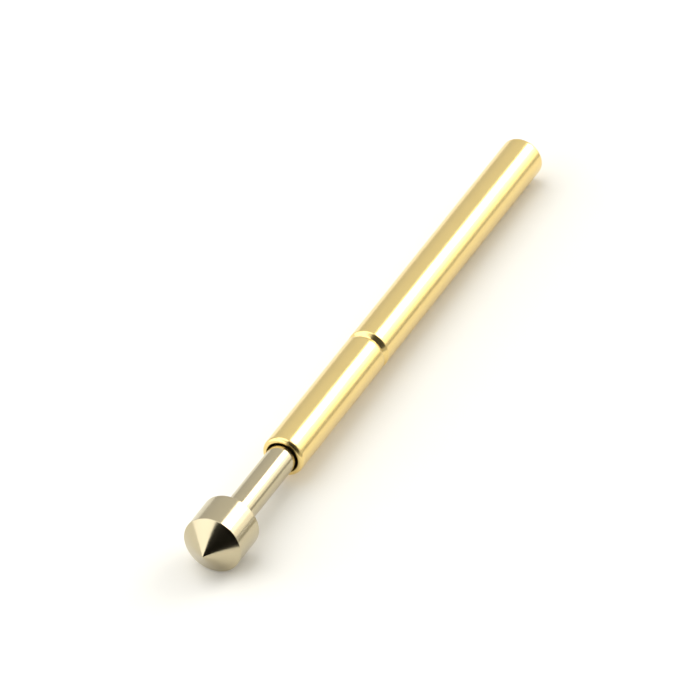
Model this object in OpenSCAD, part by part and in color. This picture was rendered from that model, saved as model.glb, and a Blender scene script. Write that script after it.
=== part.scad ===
// Spring contact probe (pogo pin). A turned plunger slides in a drawn tube with a closed end and
// is pushed out by a coil spring. A groove rolled into the tube raises a bead inside it: the bead
// guides the plunger's shaft, and stops the plunger's bearing when the spring pushes it out.
// The pin lies along X with its point towards -X. The origin is on its axis, halfway along the
// barrel's straight outside wall, where a receptacle grips it. The plunger is drawn fully out.

/* [Barrel] */
// Outside diameter of the tube
barrel_d = 1.02; // [0.90:0.01:1.20]
// Wall thickness of the drawn tube
wall = 0.09; // [0.07:0.005:0.12]
// Length from the mouth to the outside of the closed end
barrel_l = 12.7; // [11.5:0.1:16]
// Thickness of the closed end
end_wall = 0.3; // [0.15:0.05:0.6]
// Radius round the outside of the closed end
end_r = 0.08; // [0.02:0.01:0.14]
// Radius in the corner inside the closed end
bottom_r = 0.05; // [0.02:0.005:0.08]
// Radius on the outer edge of the mouth
lip_outer_r = 0.05; // [0.01:0.005:0.055]
// Radius on the inner edge of the mouth
lip_inner_r = 0.025; // [0.005:0.005:0.03]

/* [Rolled groove] */
// Distance from the mouth to the deepest line of the groove
groove_x = 4.39; // [3.5:0.01:6]
// Nose radius of the roller that presses the groove in
roller_r = 0.12; // [0.08:0.01:0.2]
// Radius of the shoulders on both sides of the groove
shoulder_r = 0.03; // [0.01:0.005:0.06]
// How far the bead stands into the bore
bead_h = 0.05; // [0.03:0.005:0.07]
// How much the rolling thins the wall
thinning = 0.01; // [0.005:0.005:0.02]

/* [Plunger] */
// Diameter of the head
head_d = 1.43; // [1.1:0.01:1.8]
// Length of the head's cylindrical side
head_l = 0.96; // [0.5:0.01:1.5]
// Full angle of the conical point, in degrees
point_angle = 110; // [60:1:130]
// Radius that the sharp end of the point is stoned to
tip_r = 0.02; // [0.005:0.005:0.06]
// Chamfer on the turned edges of the head and the bearing
edge_break = 0.02; // [0.005:0.005:0.04]
// Radius that the tool leaves where the shaft meets the head
root_r = 0.04; // [0.01:0.005:0.08]
// How far the plunger can be pushed in
travel = 2.54; // [1.5:0.01:3.2]
// Room left between the head and the mouth at full travel
head_gap = 0.1; // [0.05:0.01:0.5]
// Length of the bearing that slides in the bore
bearing_l = 1.1; // [0.6:0.05:2]

/* [Spring] */
// Diameter of the spring wire
wire_d = 0.13; // [0.10:0.005:0.15]
// Number of coils, with the closed ones
coils = 24; // [16:1:28]
// Closed coils at each end
closed_coils = 1.5; // [1:0.25:2.5]

/* [Fits] */
// Radial clearance between the shaft and the bead
shaft_gap = 0.015; // [0.01:0.005:0.03]
// Radial clearance between the bearing and the bore
bearing_gap = 0.015; // [0.01:0.005:0.02]
// Radial clearance between the spring and the bore
spring_gap = 0.03; // [0.01:0.005:0.05]

/* [Hidden] */

// Barrel and groove
barrel_r = barrel_d / 2;
bore_r = barrel_r - wall;
bore_l = barrel_l - end_wall;
bead_r = bore_r - bead_h;
groove_depth = bead_h + thinning;
groove_r = barrel_r - groove_depth;
roller_centre_r = groove_r + roller_r;
bead_arc_r = roller_centre_r - bead_r;
shoulder_reach = roller_r + shoulder_r;
groove_half_w = sqrt(pow(shoulder_reach, 2) - pow(shoulder_reach - groove_depth, 2));
blend_r = roller_centre_r - roller_r * (shoulder_reach - groove_depth) / shoulder_reach;

// Plunger, measured from the mouth
shaft_r = bead_r - shaft_gap;
head_r = head_d / 2;
head_back_x = -(travel + head_gap);
rim_x = head_back_x - head_l;
apex_x = rim_x - head_r / tan(point_angle / 2);
tip_centre_x = apex_x + tip_r / sin(point_angle / 2);
bearing_r = bore_r - bearing_gap;
bearing_x = groove_x + sqrt(pow(bead_arc_r, 2) - pow(roller_centre_r - bearing_r, 2));
bearing_end_x = bearing_x + bearing_l;

// Spring
spring_l = bore_l - bearing_end_x;
coil_r = bore_r - spring_gap - wire_d / 2;
closed_pitch = wire_d * 1.04;
open_coils = coils - 2 * closed_coils;
open_pitch = (spring_l - wire_d - 2 * closed_coils * closed_pitch) / open_coils;
wire_sides = 8;
steps_per_coil = 14;

// The middle of the straight outside wall, which a receptacle grips
seat_x = (lip_outer_r + barrel_l - end_r) / 2;
slack = 0.01;
$fn = 96;

// Turns a profile, drawn as radius and distance behind the mouth, about the pin's axis
module turned() {
    translate([-seat_x, 0, 0])
        rotate([0, 90, 0])
            rotate_extrude()
                children();
}

// A rectangle of a profile between two radii and two distances behind the mouth
module band(r1, r2, x1, x2) {
    translate([r1, x1])
        square([r2 - r1, x2 - x1]);
}

// Rounds a corner at [r, x] when it is taken away. The corner's own sides run towards dr and dx.
module rounding(r, x, radius, dr, dx) {
    difference() {
        translate([min(r - dr * slack, r + dr * radius), min(x - dx * slack, x + dx * radius)])
            square(radius + slack);
        translate([r + dr * radius, x + dx * radius])
            circle(radius);
    }
}

// What the roller pushes out of the way: its own nose, and the room between the two shoulders
module groove() {
    intersection() {
        translate([roller_centre_r, groove_x])
            circle(roller_r);
        band(0, barrel_r + slack, groove_x - roller_r, groove_x + roller_r);
    }
    difference() {
        band(blend_r, barrel_r + slack, groove_x - groove_half_w, groove_x + groove_half_w);
        for (side = [-1, 1])
            translate([barrel_r - shoulder_r, groove_x + side * groove_half_w])
                circle(shoulder_r);
    }
}

// The wall that the roller raises inside the tube, at an even thickness round its nose
module bead() {
    intersection() {
        translate([roller_centre_r, groove_x])
            circle(bead_arc_r);
        band(bead_r - slack, bore_r + wall / 2, groove_x - bead_arc_r, groove_x + bead_arc_r);
    }
}

module barrel() {
    color("#d9b25a")
        turned()
            difference() {
                union() {
                    difference() {
                        band(0, barrel_r, 0, barrel_l);
                        difference() {
                            band(-slack, bore_r, -slack, bore_l);
                            rounding(bore_r, bore_l, bottom_r, -1, -1);
                        }
                    }
                    bead();
                }
                groove();
                rounding(barrel_r, 0, lip_outer_r, -1, 1);
                rounding(bore_r, 0, lip_inner_r, 1, 1);
                rounding(barrel_r, barrel_l, end_r, -1, -1);
            }
}

// The point's sides, from where its stoned tip blends in to the head's rim, and the head
module head_profile() {
    half = point_angle / 2;
    polygon([
        [0, tip_centre_x],
        [tip_r * cos(half), tip_centre_x - tip_r * sin(half)],
        [head_r - edge_break, rim_x - edge_break / tan(half)],
        [head_r, rim_x + edge_break],
        [head_r, head_back_x - edge_break],
        [head_r - edge_break, head_back_x],
        [0, head_back_x]
    ]);
    intersection() {
        translate([0, tip_centre_x])
            circle(tip_r);
        band(0, tip_r, apex_x, tip_centre_x + tip_r);
    }
}

// The bearing's front face is left square, because its edge seats on the bead
module bearing_profile() {
    polygon([
        [0, bearing_x],
        [bearing_r, bearing_x],
        [bearing_r, bearing_end_x - edge_break],
        [bearing_r - edge_break, bearing_end_x],
        [0, bearing_end_x]
    ]);
}

module plunger() {
    color("#cfccc2")
        turned() {
            head_profile();
            band(0, shaft_r, head_back_x, bearing_x);
            difference() {
                band(shaft_r, shaft_r + root_r, head_back_x, head_back_x + root_r);
                translate([shaft_r + root_r, head_back_x + root_r])
                    circle(root_r);
            }
            bearing_profile();
        }
}

// How far along the spring the middle of the wire is after a number of turns
function wire_x(turn) =
    wire_d / 2
    + closed_pitch * min(turn, closed_coils)
    + open_pitch * max(0, min(turn - closed_coils, open_coils))
    + closed_pitch * max(0, turn - closed_coils - open_coils);

// One corner of the wire's round section, in the plane through the pin's axis
function wire_point(turn, side) =
    let (
        r = coil_r + wire_d / 2 * cos(side * 360 / wire_sides),
        x = wire_x(turn) + wire_d / 2 * sin(side * 360 / wire_sides)
    )
    [x, r * cos(turn * 360), r * sin(turn * 360)];

module spring() {
    rings = coils * steps_per_coil;
    points = [
        for (ring = [0:rings], side = [0:wire_sides - 1])
            wire_point(ring / steps_per_coil, side)
    ];
    sides = [
        for (ring = [0:rings - 1], side = [0:wire_sides - 1])
            let (next = (side + 1) % wire_sides, at = ring * wire_sides)
            [at + side, at + next, at + wire_sides + next, at + wire_sides + side]
    ];
    first_end = [for (side = [wire_sides - 1:-1:0]) side];
    last_end = [for (side = [0:wire_sides - 1]) rings * wire_sides + side];
    color("#c9a24a")
        translate([bearing_end_x - seat_x, 0, 0])
            polyhedron(points, concat(sides, [first_end, last_end]), convexity = 10);
}

barrel();
plunger();
spring();
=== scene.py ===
import math

import bpy
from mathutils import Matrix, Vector


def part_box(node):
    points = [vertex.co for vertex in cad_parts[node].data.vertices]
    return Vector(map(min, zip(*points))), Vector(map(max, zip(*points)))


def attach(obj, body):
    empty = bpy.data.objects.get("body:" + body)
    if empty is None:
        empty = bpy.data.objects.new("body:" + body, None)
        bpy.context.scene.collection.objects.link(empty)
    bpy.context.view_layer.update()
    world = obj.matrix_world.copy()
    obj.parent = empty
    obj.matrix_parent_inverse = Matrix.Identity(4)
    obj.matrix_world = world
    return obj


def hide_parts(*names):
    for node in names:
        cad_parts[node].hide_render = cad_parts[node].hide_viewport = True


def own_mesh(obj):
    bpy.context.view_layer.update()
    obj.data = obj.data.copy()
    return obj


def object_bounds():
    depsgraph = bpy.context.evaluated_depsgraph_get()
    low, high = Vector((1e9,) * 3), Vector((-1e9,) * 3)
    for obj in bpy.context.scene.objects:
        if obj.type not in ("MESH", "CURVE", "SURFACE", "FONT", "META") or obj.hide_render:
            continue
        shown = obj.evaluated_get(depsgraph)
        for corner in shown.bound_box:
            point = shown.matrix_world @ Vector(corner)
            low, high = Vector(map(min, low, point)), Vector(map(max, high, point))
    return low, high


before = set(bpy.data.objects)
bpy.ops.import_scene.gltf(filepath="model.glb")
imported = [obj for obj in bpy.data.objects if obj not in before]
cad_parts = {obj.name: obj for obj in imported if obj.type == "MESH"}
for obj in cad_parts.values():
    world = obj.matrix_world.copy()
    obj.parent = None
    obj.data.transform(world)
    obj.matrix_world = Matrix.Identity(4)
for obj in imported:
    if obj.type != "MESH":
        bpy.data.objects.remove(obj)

cad_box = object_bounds()
scene = bpy.context.scene
scene.view_settings.view_transform = "Standard"


# The view: a long lens looks down at the pin from beside its tip, so that the barrel's edges stay parallel.
# The pin runs from the near left of the table to the far right.
azimuth = math.radians(-64.17)
elevation = math.radians(37.22)
viewing_distance = 0.606
aim_left = 0.00033
aim_up = 0.000105
right = Vector((math.cos(azimuth), math.sin(azimuth), 0))
back = Vector((
    math.sin(azimuth) * math.cos(elevation),
    -math.cos(azimuth) * math.cos(elevation),
    math.sin(elevation),
))
up = back.cross(right)
pin_middle = (Vector(cad_box[0]) + Vector(cad_box[1])) / 2
aim = pin_middle - right * aim_left + up * aim_up
bpy.ops.object.camera_add(location=aim + back * viewing_distance)
camera = bpy.context.object
camera.rotation_euler = back.to_track_quat("Z", "Y").to_euler()
camera.data.lens = 1366
camera.data.sensor_width = 36
camera.data.clip_start = 0.01
camera.data.clip_end = 20
scene.camera = camera


# The table: a sheet of matt white paper. The pin rests on it with the back edge of its head and the
# lower edge of its closed end, so the sheet slopes a little against the pin's own axis.
def linear(hex_colour):
    """The linear RGBA of an sRGB hex colour."""
    channels = [int(hex_colour[i:i + 2], 16) / 255 for i in (1, 3, 5)]
    return [c / 12.92 if c <= 0.04045 else ((c + 0.055) / 1.055) ** 2.4 for c in channels] + [1]


def add_node(owner, kind, settings, inputs):
    """Adds a node to a material or world, with its settings, and its inputs as values or links."""
    node = owner.node_tree.nodes.new(kind)
    for name, value in settings.items():
        setattr(node, name, value)
    for socket, value in inputs.items():
        if isinstance(value, bpy.types.NodeSocket):
            owner.node_tree.links.new(value, node.inputs[socket])
        else:
            node.inputs[socket].default_value = value
    return node


barrel_low, barrel_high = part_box("barrel")
plunger_low, plunger_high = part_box("plunger")
point_half = math.radians(55)
tip_round = 0.00002
head_length = 0.00096
tip_x = plunger_low.x
head_radius = plunger_high.z
sharp_tip_x = tip_x + tip_round - tip_round / math.sin(point_half)
rim_x = sharp_tip_x + head_radius / math.tan(point_half)
head_back_x = rim_x + head_length
slope = math.atan((head_radius - barrel_high.z) / (barrel_high.x - head_back_x))
bpy.ops.mesh.primitive_plane_add(
    size=0.6,
    location=(head_back_x, 0, -head_radius),
    rotation=(0, -slope, 0),
)
table = bpy.context.object
table.name = "table"
bpy.ops.object.transform_apply(location=True, rotation=True, scale=True)

# Matt white paper: pressed fibres, which scatter the light evenly and shade it by less than one percent.
paper = bpy.data.materials.new("matt_white_paper")
paper.use_nodes = True
paper.node_tree.nodes.clear()
place = add_node(paper, "ShaderNodeTexCoord", {}, {})
fibres = add_node(paper, "ShaderNodeTexNoise", {}, {
    "Vector": place.outputs["Object"], "Scale": 1200.0, "Detail": 3.0})
tone = add_node(paper, "ShaderNodeMix", {"data_type": "RGBA"}, {
    0: fibres.outputs[0], 6: linear("#FDFCF8"), 7: linear("#FBFAF6")})
sheet = add_node(paper, "ShaderNodeBsdfDiffuse", {}, {"Color": tone.outputs[2]})
rays = add_node(paper, "ShaderNodeLightPath", {}, {})
seen = add_node(paper, "ShaderNodeMath", {"operation": "MAXIMUM"}, {
    0: rays.outputs["Is Camera Ray"], 1: rays.outputs["Is Glossy Ray"]})
seen_through = add_node(paper, "ShaderNodeMath", {"operation": "MAXIMUM"}, {
    0: seen.outputs[0], 1: rays.outputs["Is Transmission Ray"]})
lift = add_node(paper, "ShaderNodeMath", {"operation": "MULTIPLY"}, {0: seen_through.outputs[0], 1: 0.04})
white = add_node(paper, "ShaderNodeEmission", {}, {
    "Color": linear("#FFFFFA"), "Strength": lift.outputs[0]})
both = add_node(paper, "ShaderNodeAddShader", {}, {0: sheet.outputs[0], 1: white.outputs[0]})
add_node(paper, "ShaderNodeOutputMaterial", {}, {"Surface": both.outputs[0]})
table.data.materials.append(paper)


# The studio: a softbox on the right with two dimmer strips below it, a broad fill box on the left, a wide
# one overhead, pale walls with one dark side, and a black and a grey card that give the metal its dark edges.
def add_softbox(name, azimuth_deg, elevation_deg, width_deg, height_deg, radiance, tint):
    """An area lamp that faces the pin from that direction and looks that many degrees wide and high."""
    distance = 0.4
    turn = math.radians(azimuth_deg)
    rise = math.radians(elevation_deg)
    direction = Vector((
        math.cos(turn) * math.cos(rise),
        math.sin(turn) * math.cos(rise),
        math.sin(rise),
    ))
    bpy.ops.object.light_add(type="AREA", location=pin_middle + direction * distance)
    box = bpy.context.object
    box.name = name
    box.rotation_euler = direction.to_track_quat("Z", "Y").to_euler()
    box.data.shape = "RECTANGLE"
    box.data.size = 2 * distance * math.tan(math.radians(width_deg / 2))
    box.data.size_y = 2 * distance * math.tan(math.radians(height_deg / 2))
    box.data.energy = radiance * math.pi * box.data.size * box.data.size_y
    box.data.color = linear(tint)[:3]
    return box


add_softbox("key_softbox", -24, 39, 24.5, 20, 4.4, "#FFFBF2")
add_softbox("key_middle_strip", -28, 24.5, 36, 9.5, 1.85, "#FFFBF2")
add_softbox("key_lower_strip", -27, 12.5, 40, 14.5, 1.0, "#FFF9EC")
add_softbox("fill_softbox", 131, 20, 78, 44, 1.2, "#FFFFFF")
add_softbox("top_softbox", 95, 68, 50, 50, 1.2, "#FCFDFF")

room = bpy.data.worlds.new("studio_walls")
scene.world = room
room.use_nodes = True
room.node_tree.nodes.clear()
heading = add_node(room, "ShaderNodeTexCoord", {}, {})
towards = add_node(room, "ShaderNodeVectorMath", {"operation": "DOT_PRODUCT"}, {
    0: heading.outputs["Generated"], 1: (-0.45, -0.60, 0.66)})
height = add_node(room, "ShaderNodeSeparateXYZ", {}, {0: heading.outputs["Generated"]})
pale_wall = add_node(room, "ShaderNodeMapRange", {}, {
    "Value": height.outputs["Z"], "From Min": 0.1, "From Max": 0.7, "To Min": 0.68, "To Max": 0.86})
dark_side = add_node(room, "ShaderNodeMapRange", {"interpolation_type": "SMOOTHSTEP"}, {
    "Value": towards.outputs["Value"], "From Min": 0.74, "From Max": 0.82,
    "To Min": pale_wall.outputs[0], "To Max": 0.07})
wall = add_node(room, "ShaderNodeBackground", {}, {
    "Color": linear("#FFFDF7"), "Strength": dark_side.outputs[0]})
add_node(room, "ShaderNodeOutputWorld", {}, {"Surface": wall.outputs[0]})

# Black velvet on card: a short pile that gives back less than one percent of the light. The grey felt card
# is the same cloth in a lighter colour.
velvet = bpy.data.materials.new("black_velvet_card")
velvet.use_nodes = True
velvet.node_tree.nodes.clear()
place = add_node(velvet, "ShaderNodeTexCoord", {}, {})
pile = add_node(velvet, "ShaderNodeTexNoise", {}, {"Vector": place.outputs["Object"], "Scale": 3000.0})
nap = add_node(velvet, "ShaderNodeMix", {"data_type": "RGBA"}, {
    0: pile.outputs[0], 6: linear("#0F0E0D"), 7: linear("#171614")})
cloth = add_node(velvet, "ShaderNodeBsdfDiffuse", {}, {"Color": nap.outputs[2]})
add_node(velvet, "ShaderNodeOutputMaterial", {}, {"Surface": cloth.outputs[0]})

grey = velvet.copy()
grey.name = "grey_felt_card"
grey.node_tree.nodes[nap.name].inputs[6].default_value = linear("#B5B2AA")
grey.node_tree.nodes[nap.name].inputs[7].default_value = linear("#BDBAB2")


def add_card(name, centre, facing_deg, width, height, material):
    """An upright card that faces that way and is seen by reflections only."""
    bpy.ops.object.select_all(action="DESELECT")
    bpy.ops.mesh.primitive_plane_add(
        size=1, location=centre, rotation=(math.pi / 2, 0, math.radians(facing_deg + 90)))
    card = bpy.context.object
    card.name = name
    card.scale = (width, height, 1)
    bpy.ops.object.transform_apply(location=True, rotation=True, scale=True)
    card.data.materials.append(material)
    card.visible_camera = False
    card.visible_diffuse = False
    card.visible_transmission = False
    card.visible_shadow = False


add_card("front_card", (rim_x - 0.0048, -0.00064, 0.0026), 55.6, 0.0099, 0.0068, velvet)
add_card("side_card", (0.002, -0.0044, -0.0003), 90, 0.040, 0.0010, grey)


# The barrel: a drawn phosphor bronze tube, closed at its far end and gold plated over nickel. A roller has
# pressed one groove into it, which raises a bead inside. Its mouth is rounded over and turned in a little.
def draw_section(name, start, points):
    """Draws half of a turned part's section, as a line from start through points of (x, radius)."""
    bpy.ops.object.select_all(action="DESELECT")
    bpy.ops.mesh.primitive_plane_add(size=1e-4, location=(start[0], 0, start[1]))
    piece = bpy.context.object
    piece.name = name
    piece.data.name = name
    bpy.ops.object.transform_apply(location=True, rotation=True, scale=True)
    bpy.ops.object.mode_set(mode="EDIT")
    bpy.ops.mesh.select_all(action="SELECT")
    bpy.ops.mesh.merge(type="CENTER")
    last = start
    for x, radius in points:
        bpy.ops.mesh.extrude_region_move(
            TRANSFORM_OT_translate={"value": (x - last[0], 0, radius - last[1])})
        last = (x, radius)
    return piece


def arc(centre_x, centre_radius, size, first_deg, last_deg, steps):
    """Points on a rounded corner, measured from +X towards the outside of the part."""
    turns = [math.radians(first_deg + (last_deg - first_deg) * i / steps) for i in range(steps + 1)]
    return [(centre_x + size * math.cos(t), centre_radius + size * math.sin(t)) for t in turns]


def spin_section(piece, steps):
    """Spins the line into a closed solid about the pin's axis, with one vertex where it meets the axis."""
    bpy.ops.mesh.select_all(action="SELECT")
    bpy.ops.mesh.spin(steps=steps, angle=2 * math.pi, center=(0, 0, 0), axis=(1, 0, 0), use_auto_merge=True)
    bpy.ops.mesh.select_all(action="DESELECT")
    bpy.ops.object.mode_set(mode="OBJECT")
    for vertex in piece.data.vertices:
        vertex.select = math.hypot(vertex.co.y, vertex.co.z) < 1e-7
    bpy.ops.object.mode_set(mode="EDIT")
    bpy.ops.mesh.remove_doubles(threshold=1e-6)
    bpy.ops.mesh.select_all(action="SELECT")
    bpy.ops.mesh.normals_make_consistent(inside=False)
    bpy.ops.object.mode_set(mode="OBJECT")
    bpy.ops.object.shade_smooth_by_angle(angle=math.radians(40))


barrel_radius = barrel_high.z
mouth_x = barrel_low.x
end_x = barrel_high.x
wall_thickness = 0.00009
bore_radius = barrel_radius - wall_thickness
end_wall = 0.0003
floor_x = end_x - end_wall
bottom_round = 0.00005
groove_x = mouth_x + 0.00439
lip = 0.000096
lip_inside = 0.000018
turned_in = 0.000026
mouth_radius = bore_radius - turned_in
mouth_straight = 0.00008
mouth_taper = 0.0003
end_round = 0.00008
groove_depth = 0.000082
nose = 0.12
groove_half = 0.000112
groove_steps = 12
bead_half = 0.00015
bead_height = 0.00005
bead_steps = 10

# Beside each rounding, a short flat band keeps the smooth shading of the long faces from bending there.
band = 0.00003

# From the middle of the closed end, along the outside to the mouth, and back along the bore.
section = [(end_x, barrel_radius - end_round - band)]
section += arc(end_x - end_round, barrel_radius - end_round, end_round, 0, 90, 10)
section += [(end_x - end_round - band, barrel_radius)]
section += [(groove_x + groove_half + band, barrel_radius)]
for i in range(groove_steps, -groove_steps - 1, -1):
    x = groove_half * i / groove_steps
    drop = math.hypot(1, nose) - math.hypot(i / groove_steps, nose)
    depth = groove_depth * drop / (math.hypot(1, nose) - nose)
    section += [(groove_x + x, barrel_radius - depth)]
section += [(groove_x - groove_half - band, barrel_radius)]
section += [(mouth_x + lip + band, barrel_radius)]
section += arc(mouth_x + lip, barrel_radius - lip, lip, 90, 180, 8)
section += arc(mouth_x + lip_inside, mouth_radius + lip_inside, lip_inside, 180, 270, 5)
section += [(mouth_x + mouth_straight, mouth_radius), (mouth_x + mouth_taper, bore_radius)]
section += [(groove_x - bead_half - band, bore_radius)]
for i in range(-bead_steps, bead_steps + 1):
    x = bead_half * i / bead_steps
    rise = bead_height * math.cos(math.pi / 2 * i / bead_steps) ** 2
    section += [(groove_x + x, bore_radius - rise)]
section += [(groove_x + bead_half + band, bore_radius)]
section += arc(floor_x - bottom_round, bore_radius - bottom_round, bottom_round, 90, 0, 5)
section += [(floor_x, 0)]
barrel = draw_section("barrel_tube", (end_x, 0), section)
spin_section(barrel, 160)
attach(barrel, "barrel")
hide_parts("barrel")

# Bright gold plate, about a micrometre thick over nickel: it keeps the fine lines that drawing leaves along
# the tube, about 0.03 mm apart, and the slight waves of the wall, so that long reflections waver a little.
gold = bpy.data.materials.new("bright_gold_plate_on_drawn_tube")
gold.use_nodes = True
gold.node_tree.nodes.clear()
place = add_node(gold, "ShaderNodeTexCoord", {}, {})
along = add_node(gold, "ShaderNodeMapping", {}, {
    "Vector": place.outputs["Object"], "Scale": (0.04, 1.0, 1.0)})
lines = add_node(gold, "ShaderNodeTexNoise", {}, {
    "Vector": along.outputs[0], "Scale": 16000.0, "Detail": 2.0, "Roughness": 0.6})
waves = add_node(gold, "ShaderNodeTexNoise", {}, {
    "Vector": place.outputs["Object"], "Scale": 900.0, "Detail": 1.0})
patches = add_node(gold, "ShaderNodeTexNoise", {}, {
    "Vector": place.outputs["Object"], "Scale": 2200.0, "Detail": 3.0})
rough = add_node(gold, "ShaderNodeMapRange", {}, {
    "Value": lines.outputs[0], "From Min": 0.3, "From Max": 0.7, "To Min": 0.16, "To Max": 0.22})
colour = add_node(gold, "ShaderNodeMix", {"data_type": "RGBA"}, {
    0: patches.outputs[0], 6: linear("#F3D995"), 7: linear("#EED490")})
wave_bump = add_node(gold, "ShaderNodeBump", {}, {
    "Strength": 1.0, "Distance": 0.0000009, "Height": waves.outputs[0]})
line_bump = add_node(gold, "ShaderNodeBump", {}, {
    "Strength": 1.0, "Distance": 0.0000002, "Height": lines.outputs[0], "Normal": wave_bump.outputs[0]})
plate = add_node(gold, "ShaderNodeBsdfPrincipled", {}, {
    "Base Color": colour.outputs[2], "Metallic": 1.0, "Roughness": rough.outputs[0],
    "Normal": line_bump.outputs[0]})
add_node(gold, "ShaderNodeOutputMaterial", {}, {"Surface": plate.outputs[0]})
barrel.data.materials.append(gold)


# The plunger: turned from beryllium copper bar in one piece, with a pointed contact head outside the barrel
# and a wider bearing inside it, then nickel plated. The groove's bead guides its shaft and stops its bearing.
bearing_end_x = plunger_high.x
shaft_radius = 0.000355
bearing_radius = 0.000405
bearing_length = 0.0011
bearing_x = bearing_end_x - bearing_length
edge = 0.00002
root = 0.00004
narrow_band = 0.00002
cone_normal = 90 + math.degrees(point_half)
rim_centre_x = rim_x + edge * math.tan(point_half / 2)

section = arc(tip_x + tip_round, 0, tip_round, 180, cone_normal, 6)[1:]
section += arc(rim_centre_x, head_radius - edge, edge, cone_normal, 90, 6)
section += [(rim_centre_x + narrow_band, head_radius)]
section += [(head_back_x - edge - narrow_band, head_radius)]
section += arc(head_back_x - edge, head_radius - edge, edge, 90, 0, 6)
section += [(head_back_x, head_radius - edge - narrow_band)]
section += [(head_back_x, shaft_radius + root + narrow_band)]
section += arc(head_back_x + root, shaft_radius + root, root, 180, 270, 8)
section += [(head_back_x + root + narrow_band, shaft_radius)]
section += [(bearing_x, shaft_radius), (bearing_x, bearing_radius)]
section += [(bearing_end_x - edge, bearing_radius), (bearing_end_x, bearing_radius - edge)]
section += [(bearing_end_x, 0)]
plunger = draw_section("plunger_with_point", (tip_x, 0), section)
spin_section(plunger, 160)
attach(plunger, "plunger")
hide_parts("plunger")

# Bright nickel plate over turned copper alloy: a warm grey metal. The tool has left rings around the axis,
# really about 0.01 mm apart and drawn at 0.03 mm, which spread reflections a little along the pin.
nickel = bpy.data.materials.new("bright_nickel_plate_on_turned_copper")
nickel.use_nodes = True
nickel.node_tree.nodes.clear()
place = add_node(nickel, "ShaderNodeTexCoord", {}, {})
across = add_node(nickel, "ShaderNodeMapping", {}, {
    "Vector": place.outputs["Object"], "Scale": (1.0, 0.02, 0.02)})
rings = add_node(nickel, "ShaderNodeTexNoise", {}, {
    "Vector": across.outputs[0], "Scale": 22000.0, "Detail": 2.0, "Roughness": 0.6})
clouds = add_node(nickel, "ShaderNodeTexNoise", {}, {
    "Vector": place.outputs["Object"], "Scale": 2500.0, "Detail": 3.0})
rough = add_node(nickel, "ShaderNodeMapRange", {}, {
    "Value": rings.outputs[0], "From Min": 0.3, "From Max": 0.7, "To Min": 0.14, "To Max": 0.20})
colour = add_node(nickel, "ShaderNodeMix", {"data_type": "RGBA"}, {
    0: clouds.outputs[0], 6: linear("#C6BB9D"), 7: linear("#C0B598")})
ring_bump = add_node(nickel, "ShaderNodeBump", {}, {
    "Strength": 1.0, "Distance": 0.00000012, "Height": rings.outputs[0]})
plate = add_node(nickel, "ShaderNodeBsdfPrincipled", {}, {
    "Base Color": colour.outputs[2], "Metallic": 1.0, "Roughness": rough.outputs[0],
    "Normal": ring_bump.outputs[0]})
add_node(nickel, "ShaderNodeOutputMaterial", {}, {"Surface": plate.outputs[0]})
plunger.data.materials.append(nickel)


# The spring: hard-drawn music wire wound on an arbor, with one and a half turns closed at each end and a
# thin gold plate. It sits between the plunger's bearing and the barrel's closed end, and only those hold it.
spring_low, spring_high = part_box("spring")
spring_length = spring_high.x - spring_low.x
wire = 0.00013
coil_radius = spring_high.z - wire / 2
closed_turns = 1.5
open_turns = 21
closed_advance = closed_turns * wire * 1.04
open_advance = spring_length - wire - 2 * closed_advance


def wind(name, start_x, start_z, turns, advance):
    """Winds a stretch of wire about the pin's axis from a ring that is the wire's own section."""
    bpy.ops.object.select_all(action="DESELECT")
    bpy.ops.mesh.primitive_circle_add(
        vertices=12, radius=wire / 2, location=(start_x, 0, start_z), rotation=(math.pi / 2, 0, 0))
    stretch = bpy.context.object
    stretch.name = name
    bpy.ops.object.transform_apply(location=True, rotation=True, scale=True)
    screw = stretch.modifiers.new("wind", "SCREW")
    screw.axis = "X"
    screw.angle = 2 * math.pi * turns
    screw.screw_offset = advance
    screw.steps = int(40 * turns)
    screw.render_steps = int(40 * turns)
    bpy.ops.object.modifier_apply(modifier=screw.name)
    return stretch


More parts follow.
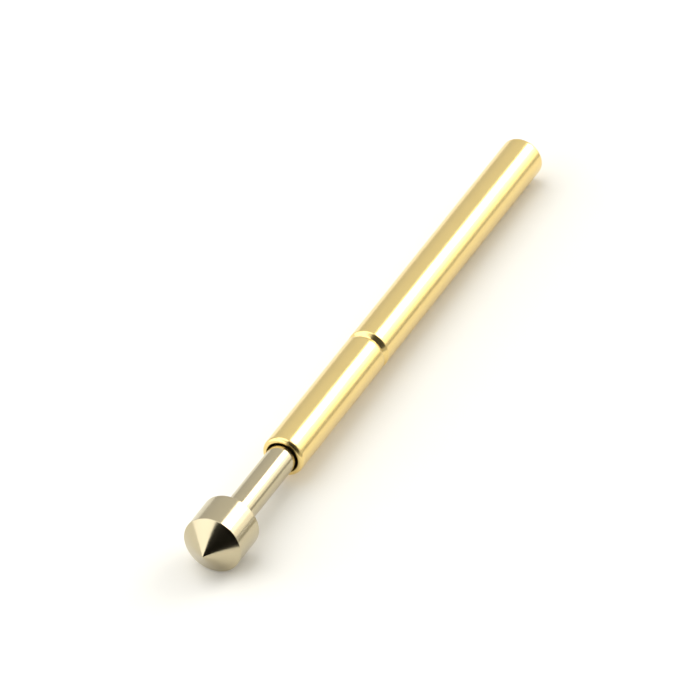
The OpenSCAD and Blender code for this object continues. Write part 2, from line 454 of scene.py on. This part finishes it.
wire_start = spring_low.x + wire / 2
first_end = wind("closed_turns", wire_start, coil_radius, closed_turns, closed_advance)
middle = wind("open_turns", wire_start + closed_advance, -coil_radius, open_turns, open_advance)
spring = wind(
    "coil_spring", wire_start + closed_advance + open_advance, -coil_radius, closed_turns, closed_advance)
first_end.select_set(True)
middle.select_set(True)
bpy.ops.object.join()
spring.data.name = "coil_spring"
bpy.ops.object.mode_set(mode="EDIT")
bpy.ops.mesh.select_all(action="SELECT")
bpy.ops.mesh.remove_doubles(threshold=1e-6)
bpy.ops.mesh.fill_holes(sides=0)
bpy.ops.mesh.select_all(action="SELECT")
bpy.ops.mesh.normals_make_consistent(inside=False)
bpy.ops.object.mode_set(mode="OBJECT")
bpy.ops.object.shade_smooth_by_angle(angle=math.radians(50))
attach(spring, "barrel")
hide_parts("spring")
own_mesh(spring)

# Thin gold plate on drawn wire: the die's scratches run along the wire and show as a finely mottled gloss.
wire_gold = bpy.data.materials.new("thin_gold_plate_on_music_wire")
wire_gold.use_nodes = True
wire_gold.node_tree.nodes.clear()
place = add_node(wire_gold, "ShaderNodeTexCoord", {}, {})
scratches = add_node(wire_gold, "ShaderNodeTexNoise", {}, {
    "Vector": place.outputs["Object"], "Scale": 30000.0, "Detail": 2.0})
rough = add_node(wire_gold, "ShaderNodeMapRange", {}, {
    "Value": scratches.outputs[0], "From Min": 0.3, "From Max": 0.7, "To Min": 0.16, "To Max": 0.28})
colour = add_node(wire_gold, "ShaderNodeMix", {"data_type": "RGBA"}, {
    0: scratches.outputs[0], 6: linear("#F6DA8C"), 7: linear("#E8C878")})
scratch_bump = add_node(wire_gold, "ShaderNodeBump", {}, {
    "Strength": 1.0, "Distance": 0.0000001, "Height": scratches.outputs[0]})
plate = add_node(wire_gold, "ShaderNodeBsdfPrincipled", {}, {
    "Base Color": colour.outputs[2], "Metallic": 1.0, "Roughness": rough.outputs[0],
    "Normal": scratch_bump.outputs[0]})
add_node(wire_gold, "ShaderNodeOutputMaterial", {}, {"Surface": plate.outputs[0]})
spring.data.materials.append(wire_gold)
